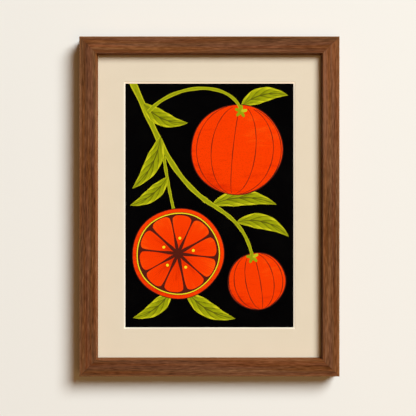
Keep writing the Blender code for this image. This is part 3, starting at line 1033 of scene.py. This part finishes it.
@dataclass
class Mat:
    """The window mat: a board with a paper face and a paler core that shows in its bevel."""

    face: Finish = PaperFinish("mat_face", srgb(231, 216, 193), srgb(222, 206, 181), 0.2, 0.00006)
    core: Finish = PaperFinish("mat_core", srgb(243, 231, 211), srgb(238, 225, 203), 0.3, 0.00005)
    # copies of the core with a painted glow, for the bevel's right and upper runs that lie in shade;
    # the upper one is also a little warmer
    painted_glow_right_core: Finish = replace(core, name="mat_core_painted_glow_right", painted_glow=0.65)
    painted_glow_upper_core: Finish = PaperFinish("mat_core_painted_glow_upper", srgb(247, 227, 203), srgb(242, 221, 195),
                                     0.3, 0.00005, painted_glow=0.76)
    window: Point = (0.2166, 0.3141)                # at its narrow back edge
    raised: float = 0.0013                          # window's middle above the board's middle
    arris: float = 0.00012                          # softened front edge of the bevel
    skin: float = 0.0004                            # thickness of the face paper

    def loop(self, half: np.ndarray, y: float, middle: float) -> np.ndarray:
        """The corners of an upright rectangle, with the first again at the end.

        Args:
            half: Half its width and height.
            y: Its place in depth.
            middle: The height of its middle.

        Returns:
            Points of shape (5, 3).
        """
        corner = np.array([(-1, -1), (1, -1), (1, 1), (-1, 1), (-1, -1)]) * half
        return coords(corner[:, 0], y, corner[:, 1] + middle)

    def build(self) -> None:
        """Carries the board's section round the window: face, bevel at 45 degrees, back, edge.

        The bevel shows the face paper's thickness first and then the core. The core's right and upper
        runs, which face away from the lamp, glow with painted light, so that they are not dark.
        """
        low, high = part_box("mat_board")
        middle, deep = (low.z + high.z) / 2, high.y - low.y
        at = middle + self.raised
        outer, half = np.array([high.x - low.x, high.z - low.z]) / 2, np.array(self.window) / 2
        section = np.stack([
            self.loop(outer, low.y, middle),
            self.loop(half + deep + self.arris, low.y, at),
            self.loop(half + deep - self.arris, low.y + self.arris * 0.5, at),
            self.loop(half + deep - self.skin, low.y + self.skin, at),
            self.loop(half, high.y, at),
            self.loop(outer, high.y, middle),
        ])
        board = Shell("mat_with_bevel", [self.face, self.core, self.painted_glow_right_core, self.painted_glow_upper_core])
        board.patch(section[:4])
        # the bevel's right and upper runs take the core copies with the painted glow
        board.patch(section[3:5], look=np.array([1, 2, 3, 1]))      # lower, right, upper, left
        board.patch(section[4:6])
        board.patch(section[[5, 0]], look=1)
        made = board.build()
        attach(made, "frame")
        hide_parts("mat_board")
        report(made)


@dataclass(frozen=True)
class Branch:
    """A branch: its curve's control points, the half widths at its ends and its layer of ink."""

    spine: tuple[Point, Point, Point, Point]
    girth: Point
    layer: Layer


@dataclass(frozen=True)
class Leaf:
    """A leaf's place in the picture, in metres from the window's middle."""

    base: Point
    tip: Point
    width: float
    bow: float = 0.0            # how far the midrib bends to its left, as a share of its length


@dataclass(frozen=True)
class Fruit:
    """A round fruit's place in the picture: its middle, radius and the way its stem points."""

    middle: Point
    radius: float
    stem: float                 # degrees
    turn: float = 0.0           # degrees that its ribs are turned about its stem


@dataclass
class Picture:
    """The print: black paper with a plain fruiting branch, laid on in thin layers of ink."""

    paper: Finish = PaperFinish("print_paper", srgb(2, 2, 3), srgb(8, 8, 8), 0.5, 0.00003,
                                roughness=0.85, specular=0.01)
    leaf: Finish = LeafInk("leaf_ink", srgb(108, 116, 6), srgb(156, 162, 14), srgb(212, 208, 30),
                           strokes=(1.2, 0.5, 1.0))
    branch_ink: Finish = StemInk("branch_ink", srgb(112, 120, 8), srgb(156, 162, 16),
                                 srgb(206, 202, 34), strokes=(9.0, 0.25, 1.0))
    rind: Finish = RindInk("rind_ink", srgb(222, 44, 2), srgb(248, 61, 2), srgb(255, 84, 12),
                           strokes=(1.2, 0.5, 1.0))
    outline: Finish = InkFinish("outline_ink", srgb(66, 22, 16), srgb(84, 30, 20),
                                srgb(104, 42, 28))
    pith: Finish = InkFinish("pith_ink", srgb(224, 196, 20), srgb(244, 222, 36), srgb(255, 240, 90))
    flesh: Finish = FleshInk("flesh_ink", srgb(214, 42, 2), srgb(248, 60, 2), srgb(255, 88, 12),
                             strokes=(0.9, 0.55, 1.0))
    size: float = 0.985             # of the design against the measures below
    film: float = 0.000008          # thickness of a layer of ink
    step: float = 0.000011          # from one layer to the next
    line: float = 0.00042           # half the width of a drawn line
    edge: float = 0.0011            # width of the line round a whole fruit
    wobble: float = 0.012           # how far a drawn circle wanders, as a share of its radius
    leaf_points: tuple[int, int] = (37, 9)          # of a leaf's grid, along and across it
    branch_points: tuple[int, int] = (49, 3)
    rib_points: tuple[int, int] = (33, 3)
    rib_ends: Point = (-1.38, 1.22)                 # the latitudes that a rib runs between
    segment_points: tuple[int, int] = (15, 13)
    disc_rings: int = 9             # rows of points from a disc's middle to its edge
    cap_rings: int = 5
    branches: tuple[Branch, ...] = (
        Branch(((-0.104, 0.168), (-0.070, 0.100), (-0.056, 0.044), (-0.004, 0.006)),
               (0.0042, 0.0028), Layer.BRANCH),
        Branch(((-0.004, 0.006), (0.016, -0.008), (0.046, -0.020), (0.0560, -0.066)),
               (0.0028, 0.0019), Layer.TWIG),
        Branch(((-0.080, 0.122), (-0.048, 0.160), (0.026, 0.166), (0.0415, 0.125)),
               (0.0023, 0.0018), Layer.TWIG),
        Branch(((-0.060, 0.066), (-0.056, 0.040), (-0.052, 0.016), (-0.047, -0.004)),
               (0.0021, 0.0017), Layer.BRANCH),
    )
    leaves: tuple[Leaf, ...] = (
        Leaf((-0.064, 0.090), (-0.101, 0.022), 0.021, 0.10),
        Leaf((-0.087, 0.134), (-0.028, 0.108), 0.020, -0.13),
        Leaf((0.042, 0.130), (0.103, 0.144), 0.020, 0.13),
        Leaf((-0.055, 0.037), (-0.104, 0.000), 0.018, 0.10),
        Leaf((0.004, 0.001), (0.088, 0.001), 0.021, 0.11),
        Leaf((0.036, -0.022), (0.104, -0.041), 0.020, 0.14),
        Leaf((-0.050, -0.110), (-0.100, -0.147), 0.019, 0.12),
        Leaf((-0.030, -0.112), (0.034, -0.148), 0.021, -0.10),
    )
    whole: tuple[Fruit, ...] = (
        Fruit((0.036, 0.073), 0.060, 84.0, 10.0),
        Fruit((0.062, -0.099), 0.038, 100.0, -8.0),
    )
    cut: Fruit = Fruit((-0.041, -0.063), 0.060, 97.0)
    lobes: int = 6                  # of a whole fruit's front half
    cap: float = 0.0085             # radius of the cap at its stem
    cap_points: int = 5
    cap_place: float = 0.84         # its middle, as a share of the fruit's radius
    # the cut fruit's rings: outer radius, hole as a share of it, and index of the finish
    rings: tuple[tuple[float, float, int], ...] = ((0.985, 0.925, 1), (0.902, 0.975, 2))
    segments: int = 10
    first_turn: float = 0.2         # angle of the first segment
    heart: float = 0.11             # where a segment starts, as a share of the fruit's radius
    rim: float = 0.845              # where it ends
    membrane: float = 0.016         # half the width between two segments, as such a share
    seed: float = 0.0019
    seed_place: float = 0.34        # as a share of the fruit's radius
    front: float = field(init=False)
    middle: float = field(init=False)

    def __post_init__(self) -> None:
        """Finds the paper's front and the window's middle from the frame."""
        low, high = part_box("print_sheet")
        self.front, self.middle = low.y, (low.z + high.z) / 2

    def ink(self, shell: Shell, drawn: Drawn, layer: int, rims: tuple[Rim, ...],
            look: int = 0) -> None:
        """Lays a drawn shape on the paper as a thin body, a layer nearer for each number.

        Args:
            shell: The piece that it belongs to.
            drawn: Flat points from the window's middle, and their map places.
            layer: The layer, from 1 on the paper.
            rims: The open borders of the grid.
            look: The index of its finish.
        """
        flat, uv = drawn[0] * self.size, drawn[1]
        depth = self.front - layer * self.step - self.film
        grid = coords(flat[..., 0], depth, flat[..., 1] + self.middle)
        shell.slab(grid, uv, (0.0, self.film, 0.0), rims, look)

    def leaf_grid(self, leaf: Leaf) -> Drawn:
        """A leaf: a bowed midrib with half widths that swell and close like a drawn out sine.

        The midrib is a parabola from base to tip. The half width at t along it is the sine of pi
        times t to the 0.8, with a light wave on the margin, and across runs from -1 to 1.

        Args:
            leaf: The leaf.

        Returns:
            The flat points and their map places.
        """
        t, across = lattice(*self.leaf_points)
        base, run = np.array(leaf.base), np.subtract(leaf.tip, leaf.base)
        side = np.array([-run[1], run[0]])
        rib = base + t[..., None] * run + (4 * leaf.bow * t * (1 - t))[..., None] * side
        slope = run + (4 * leaf.bow * (1 - 2 * t))[..., None] * side
        swell = np.sin(np.pi * t ** 0.8) ** 0.92 * (1 + 0.03 * np.sin(23 * t))
        points = rib + left_of(slope) * (across * swell * leaf.width / 2)[..., None]
        return points, coords(t, (across + 1) / 2)

    def ribbon(self, branch: Branch) -> Drawn:
        """A branch: a cubic Bezier spine with half widths that taper and swell at the joints.

        Args:
            branch: The branch.

        Returns:
            The flat points and their map places.
        """
        t, across = (number[..., None] for number in lattice(*self.branch_points))
        a, b, c, d = (np.array(point) for point in branch.spine)
        start, end = branch.girth
        line = (1 - t) ** 3 * a + 3 * (1 - t) ** 2 * t * b + 3 * (1 - t) * t ** 2 * c + t ** 3 * d
        slope = 3 * (1 - t) ** 2 * (b - a) + 6 * (1 - t) * t * (c - b) + 3 * t ** 2 * (d - c)
        half = start + (end - start) * t
        half = half * (1 + 0.10 * np.sin(31 * t) + 0.35 * np.exp(-((t - 1) / 0.04) ** 2))
        points = line + left_of(slope) * across * half
        return points, coords(t[..., 0], (across[..., 0] + 1) / 2)

    def disc(self, middle: Point | np.ndarray, radius: float, inner: float = 0.0,
             turns: int = 64) -> Drawn:
        """A hand drawn disc or ring: its radius wanders by two slow waves of the angle.

        Args:
            middle: Its middle.
            radius: Its outer radius.
            inner: The radius of its hole, as a share of the outer one.
            turns: How many points go round it.

        Returns:
            The flat points and their map places, which are x and y from 0 to 1.
        """
        share, angle = wheel(self.disc_rings, turns, inner)
        drawn = 1 + self.wobble * (np.sin(2 * angle + 0.7) + 0.6 * np.sin(5 * angle + 2.0))
        drawn[:, -1] = drawn[:, 0]
        flat = polar(share * drawn, angle)
        return np.array(middle) + radius * flat, flat / 2 + 0.5

    def rib(self, fruit: Fruit, number: int) -> Drawn:
        """A line over a whole fruit, drawn as a meridian of a globe seen from the side.

        At the latitude p its x is the cosine of p times the sine of the longitude, and its y the
        sine of p, both times the radius and leant with the stem. It is broadest at the equator.

        Args:
            fruit: The fruit.
            number: Which line, counted from the left.

        Returns:
            The flat points and their map places.
        """
        p, across = lattice(*self.rib_points, *self.rib_ends)
        spread = math.sin(math.radians(180 / self.lobes * (number + 0.5) - 90 + fruit.turn))
        half = self.line * (0.45 + 0.55 * np.cos(p)) * (1 + 0.2 * np.sin(9 * p + number))
        points = 0.97 * fruit.radius * coords(np.cos(p) * spread, np.sin(p))
        slope = coords(-np.sin(p) * spread, np.cos(p))
        points = points - left_of(slope) * (across * half)[..., None]
        lean = math.radians(fruit.stem - 90)
        turn = np.array([[math.cos(lean), math.sin(lean)], [-math.sin(lean), math.cos(lean)]])
        return np.array(fruit.middle) + points @ turn, coords(p, across) / 3 + 0.5

    def star(self, fruit: Fruit) -> Drawn:
        """The small cap at a stem: a radius that rises to a point and falls again on each lobe.

        Args:
            fruit: The fruit.

        Returns:
            The flat points and their map places.
        """
        turn = math.radians(fruit.stem)
        share, angle = wheel(self.cap_rings, 12 * self.cap_points)
        drawn = 0.42 + 0.58 * np.abs(np.cos(self.cap_points / 2 * (angle - turn))) ** 1.6
        middle = fruit.middle + polar(self.cap_place * fruit.radius, turn)
        return middle + self.cap * polar(share * drawn, angle), coords(share, angle / 7)

    def segment(self, number: int) -> Drawn:
        """A segment of the cut fruit: a wedge with rounded corners.

        Along runs from the heart to the rind and across from side to side. The half angle opens
        quickly from the heart as a power of along, less a fixed width of membrane, and the
        outer end is pulled in at its corners by the fourth power of across.

        Args:
            number: Which segment, counted round the fruit.

        Returns:
            The flat points and their map places.
        """
        along, across = lattice(*self.segment_points)
        pitch = 2 * np.pi / self.segments
        turn = pitch * (number + 0.02 * math.sin(number * 1.7)) + self.first_turn
        end = self.rim * (1 + 0.05 * math.sin(number * 2.3)) ** 0.15
        radius = self.heart + (end - self.heart) * along * (1 - 0.075 * across ** 4)
        half = (pitch / 2 - self.membrane / radius) * (1 - (1 - along) ** 6)
        flat = polar(radius, turn + across * half * (1 - 0.10 * along ** 8))
        uv = coords(along, (across + 1) / 2) + [0, number * 7.3]    # each from its own stroke
        return np.array(self.cut.middle) + self.cut.radius * flat, uv

    def build_branch(self) -> None:
        """The branch and its twigs, each on its own layer."""
        wood = Shell("printed_branch", [self.branch_ink])
        for branch in self.branches:
            self.ink(wood, self.ribbon(branch), branch.layer, ALL_RIMS)
        self.finish(wood)

    def build_leaves(self) -> None:
        """The leaves, on three layers in turn, over the branch."""
        leaves = Shell("printed_leaves", [self.leaf])
        for number, leaf in enumerate(self.leaves):
            self.ink(leaves, self.leaf_grid(leaf), Layer.LEAF + number % 3, (Rim.LEFT, Rim.RIGHT))
        self.finish(leaves)

    def build_whole(self) -> None:
        """The whole fruits: an outline, the rind on it, its ribs and the green cap at the stem."""
        fruits = Shell("printed_fruits", [self.outline, self.rind, self.branch_ink])
        for fruit in self.whole:
            ground = self.disc(fruit.middle, fruit.radius)
            self.ink(fruits, ground, Layer.OUTLINE, (Rim.LAST,), 0)
            rind = self.disc(fruit.middle, fruit.radius - self.edge)
            self.ink(fruits, rind, Layer.RIND, (Rim.LAST,), 1)
            for number in range(self.lobes):
                self.ink(fruits, self.rib(fruit, number), Layer.RIB, ALL_RIMS, 0)
            self.ink(fruits, self.star(fruit), Layer.CAP, (Rim.LAST,), 2)
        self.finish(fruits)

    def build_cut(self) -> None:
        """The cut fruit: a dark ground with rings of rind and pith, segments and seeds on it."""
        half = Shell("printed_cut_fruit", [self.outline, self.rind, self.pith, self.flesh])
        middle, radius = self.cut.middle, self.cut.radius
        self.ink(half, self.disc(middle, radius), Layer.TWIG, (Rim.LAST,), 0)
        for share, inner, look in self.rings:
            ring = self.disc(middle, radius * share, inner)
            self.ink(half, ring, Layer.CAP, (Rim.FIRST, Rim.LAST), look)
        for number in range(self.segments):
            rims = (Rim.LAST, Rim.LEFT, Rim.RIGHT)
            self.ink(half, self.segment(number), Layer.FLESH, rims, 3)
        for number in range(0, self.segments, 2):
            turn = 2 * math.pi / self.segments * number + self.first_turn
            place = middle + polar(self.seed_place * radius, turn)
            self.ink(half, self.disc(place, self.seed, turns=20), Layer.SEED, (Rim.LAST,), 2)
        self.finish(half)

    def finish(self, shell: Shell) -> None:
        """Builds a part of the picture and joins it to the frame.

        Args:
            shell: What was gathered of it.
        """
        made = shell.build()
        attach(made, "frame")
        report(made)

    def build(self) -> None:
        """Dresses the paper and lays the picture on it."""
        dress("print_sheet", self.paper)
        self.build_branch()
        self.build_leaves()
        self.build_whole()
        self.build_cut()


@dataclass
class Backing:
    """The boards and tapes behind the print."""

    mount: Finish = PaperFinish("mount_board", srgb(232, 228, 216), srgb(206, 198, 180), 0.5,
                                0.00008)
    tape: Finish = PaperFinish("linen_tape", srgb(222, 214, 196), srgb(198, 188, 166), 0.6, 0.0001)
    filler: Finish = PaperFinish("corrugated_card", srgb(176, 140, 98), srgb(150, 114, 76), 0.5,
                                 0.0001)
    back: Finish = HardboardFinish("hardboard")

    def build(self) -> None:
        """Dresses the boards and tapes."""
        for node, finish in (("mount_board", self.mount), ("hinge_tape_left", self.tape),
                             ("hinge_tape_right", self.tape), ("filler_board", self.filler),
                             ("backing_board", self.back)):
            dress(node, finish)


@dataclass
class TurnButtons:
    """The stamped buttons that hold the back in: a round eye, a tapered finger and a rolled rim."""

    finish: Finish = MetalFinish("zinc_plate", srgb(198, 199, 198), srgb(162, 164, 166), 0.36)
    eye: float = 0.0045             # radius about the screw
    tip: float = 0.0030             # radius of the finger's end
    reach: float = 0.0140           # from the screw to the middle of the finger's end
    hole: float = 0.0015
    rim: float = 0.0011             # width of the rim
    roll: float = 0.0003            # rounding of its two edges
    under: Point = (0.00022, 0.0002)    # width and height of the chamfer underneath
    sunk: float = 0.00025           # depth of the panel inside the rim
    sharp: float = 50.0
    steps: int = 72                 # points round a button

    def outline(self, angle: np.ndarray, inset: float) -> np.ndarray:
        """How far the outline lies from the screw: the hull of two circles, seen from one's middle.

        It is the finger's round end near the angle 0, then the straight line that touches both
        circles, then the eye's own circle.

        Args:
            angle: Angles from the finger's direction, at most pi either way.
            inset: How far inside the outline the points lie.

        Returns:
            The distances, of the angles' shape.
        """
        turn, eye, tip = np.abs(angle), self.eye - inset, self.tip - inset
        lean = math.asin((eye - tip) / self.reach)
        touch = math.atan2(tip * math.cos(lean), self.reach + tip * math.sin(lean))
        off = np.clip(tip ** 2 - (self.reach * np.sin(turn)) ** 2, 0, None)
        end = self.reach * np.cos(turn) + np.sqrt(off)
        side = eye / (math.sin(lean) * np.cos(turn) + math.cos(lean) * np.abs(np.sin(turn)))
        return np.where(turn < touch, end, np.where(turn < math.pi / 2 - lean, side, eye))

    def build_one(self, name: str) -> None:
        """Carries rings from the hole round under the plate, over its rim and back to the hole.

        The angles go as the square of an even step, so they crowd round the finger's end.

        Args:
            name: The button's node and body.
        """
        low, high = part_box(name)
        pin = middle_of(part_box(name.replace("button", "screw")))
        way = middle_of((low, high)) - pin
        way = way / np.linalg.norm(way)
        s = np.linspace(-1, 1, self.steps + 1)
        angle = np.pi * np.sign(s) * s ** 2
        bend = 0.3 * self.roll      # how far the middle of a rolled edge lies inside its corner
        rings = ((self.under[0], low.y), (0.0, low.y + self.under[1]), (0.0, high.y - self.roll),
                 (bend, high.y - bend), (self.roll, high.y), (self.rim - self.roll, high.y),
                 (self.rim, high.y - self.sunk))
        hole = np.full_like(s, self.hole)
        far = np.stack([hole, *(self.outline(angle, inset) for inset, _ in rings), hole, hole])
        deep = np.array([low.y, *(y for _, y in rings), high.y - self.sunk, low.y])[:, None]
        flat = polar(far, angle) @ np.array([way, (way[1], -way[0])]) + pin
        button = Shell("stamped_" + name, [self.finish])
        button.patch(coords(flat[..., 0], deep, flat[..., 1]))
        made = button.build(smooth=True, sharp=self.sharp)
        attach(made, name)
        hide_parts(name)
        report(made)

    def build(self) -> None:
        """Builds every button on its own body."""
        for node in sorted(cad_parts):
            if node.startswith("turn_button_"):
                self.build_one(node)


@dataclass
class Bumpers:
    """The moulded bumpers at the lower corners: a wide foot, sloped sides and a round shoulder."""

    finish: Finish = FeltFinish("felt")
    top: float = 0.0049             # radius of the face that meets the wall, with its shoulder
    shoulder: float = 0.0008
    foot: float = 0.0004            # height of the upright edge at its foot
    steps: int = 48                 # points round a bumper
    shoulder_steps: int = 6         # points over its shoulder

    def build(self) -> None:
        """Turns the section about each bumper's middle."""
        both = Shell("moulded_bumpers", [self.finish])
        angle = np.linspace(0, 2 * np.pi, self.steps + 1)[None, :]
        turn = np.linspace(0, np.pi / 2, self.shoulder_steps)
        for name in ("bumper_left", "bumper_right"):
            low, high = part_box(name)
            wide, flat = (high.x - low.x) / 2, self.top - self.shoulder
            far = np.array([0, wide, wide, *(flat + self.shoulder * np.cos(turn)), 0])[:, None]
            deep = np.array([low.y, low.y, low.y + self.foot,
                             *(high.y - self.shoulder * (1 - np.sin(turn))), high.y])[:, None]
            round_it = middle_of((low, high)) + polar(far, angle)
            both.patch(coords(round_it[..., 0], deep, round_it[..., 1]))
        made = both.build(smooth=True)
        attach(made, "frame")
        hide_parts("bumper_left", "bumper_right")
        report(made)


@dataclass
class Fittings:
    """What holds the back in and hangs the frame: buttons, screws, hanger, nails and bumpers."""

    plate: Finish = MetalFinish("zinc_strap", srgb(166, 166, 164), srgb(126, 127, 128), 0.44)
    steel: Finish = MetalFinish("bright_steel", srgb(180, 178, 174), srgb(136, 134, 131), 0.30)
    # how the nodes' names start, and their finishes
    looks: tuple[tuple[str, Finish], ...] = (("sawtooth", plate), ("turn_screw_", steel),
                                             ("hanger_nail", steel), ("v_nail", steel))

    def build(self) -> None:
        """Dresses each CAD fitting by the start of its node's name, then builds the finer ones."""
        for node in sorted(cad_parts):
            for start, finish in self.looks:
                if node.startswith(start):
                    dress(node, finish)
        TurnButtons().build()
        Bumpers().build()


@dataclass(frozen=True)
class Lamp:
    """A round soft lamp that faces the frame's middle."""

    name: str
    place: Vector                       # from the frame's middle
    size: float                         # its diameter
    power: float                        # in watts
    colour: Colour = (1.0, 1.0, 1.0)
    mirrored: bool = True               # whether glass and metal mirror it

    def hang(self, middle: np.ndarray) -> None:
        """Hangs the lamp and turns it to the frame.

        Args:
            middle: The frame's middle.
        """
        light = bpy.data.lights.new(self.name, "AREA")
        light.shape = "DISK"
        light.size, light.energy, light.color = self.size, self.power, self.colour
        x, y, z = self.place
        made = put(self.name, light)
        made.location = middle + np.array(self.place)
        made.rotation_euler = (math.atan2(math.hypot(x, y), z), 0.0, math.atan2(x, -y))
        made.visible_camera = False
        made.visible_glossy = made.visible_transmission = self.mirrored


@dataclass
class Studio:
    """A pale plain wall and floor, soft lamps and the camera of the photograph."""

    paint: Finish = StageFinish("studio_paint", srgb(240, 237, 231))
    backdrop: Colour = srgb(236, 233, 227)      # what the eye sees beyond the wall and floor
    bounce: Colour = (1.0, 0.56, 0.22)  # the dim light from all round, warmed by the room
    dim: float = 0.08                   # its strength
    picture_px: float = 416.0
    px_to_mm: float = 0.7832            # pixels to a millimetre at the moulding's front face
    middle_px: Point = (209.4, 206.45)  # the frame's middle in the photograph
    distance: float = 1.5               # from the camera to the moulding's front face
    wall_half: float = 5.0
    wall_gap: float = 0.0002            # between the bumpers and the wall
    floor_drop: float = 0.30            # from the frame's lower edge to the floor
    sensor: float = 36.0
    lamps: tuple[Lamp, ...] = (
        Lamp("key", (4.82, -7.30, 4.82), 5.4, 1270.0, (0.95, 1.018, 1.047), mirrored=False),
        Lamp("fill", (0.5, -2.6, -0.7), 1.6, 10.5, bounce, mirrored=False),
        Lamp("back_key", (-2.4, 3.4, 2.4), 4.0, 190.0, mirrored=False),
        Lamp("back_gleam", (-2.0, 3.8, 1.6), 4.0, 60.0),
        Lamp("back_fill", (2.6, 2.6, 0.2), 3.0, 50.0),
    )

    def plane(self, name: str, corners: list[Vector]) -> None:
        """A flat stage piece.

        Args:
            name: Its name.
            corners: Its corners, anticlockwise as seen from its painted side.
        """
        mesh = bpy.data.meshes.new(name)
        mesh.from_pydata(corners, [], [(0, 1, 2, 3)])
        mesh.materials.append(self.paint.material())
        made = put(name, mesh)

    def sky(self) -> None:
        """The studio's own dim light, which the eye sees as the pale backdrop."""
        world = bpy.data.worlds.new("studio")
        world.use_nodes = True
        graph = Graph(world.node_tree)
        seen = graph.node("LightPath").outputs["Is Camera Ray"]
        graph.fill(world.node_tree.nodes["Background"], {
            "Color": graph.mix(seen, self.bounce, self.backdrop),
            "Strength": graph.math("MULTIPLY_ADD", seen, 1.0 - self.dim, self.dim)})
        bpy.context.scene.world = world

    def camera(self, middle: np.ndarray, front: float) -> None:
        """A camera square to the frame that puts its middle where the photograph has it.

        Args:
            middle: The frame's middle.
            front: The place of the moulding's front face in depth.
        """
        lens = bpy.data.cameras.new("camera")
        lens.sensor_width = self.sensor
        lens.lens = self.sensor * self.distance / (self.picture_px / self.px_to_mm / 1000)
        made = put("camera", lens)
        right, down = (np.array(self.middle_px) - self.picture_px / 2) / self.px_to_mm / 1000
        made.location = (middle[0] - right, front - self.distance, middle[2] + down)
        made.rotation_euler = (math.radians(90), 0.0, 0.0)
        bpy.context.scene.camera = made

    def build(self) -> None:
        """Sets the stage round the frame."""
        low, high = CAD_BOX
        middle = np.array([(low.x + high.x) / 2, 0.0, (low.z + high.z) / 2])
        half, foot, wall = self.wall_half, low.z - self.floor_drop, high.y + self.wall_gap
        self.plane("studio_wall", [(-half, wall, foot), (half, wall, foot),
                                   (half, wall, half), (-half, wall, half)])
        self.plane("studio_floor", [(-half, -2 * half, foot), (half, -2 * half, foot),
                                    (half, wall, foot), (-half, wall, foot)])
        for lamp in self.lamps:
            lamp.hang(middle)
        self.sky()
        self.camera(middle, low.y)
        bpy.context.scene.view_settings.view_transform = "Standard"


def main() -> None:
    """Builds every sub-assembly in order and sets the studio round it."""
    logging.basicConfig(level=logging.INFO, format="%(name)s %(message)s")
    for part in (Moulding(), Glazing(), Mat(), Picture(), Backing(), Fittings(), Studio()):
        part.build()


if __name__ == "__main__":
    main()
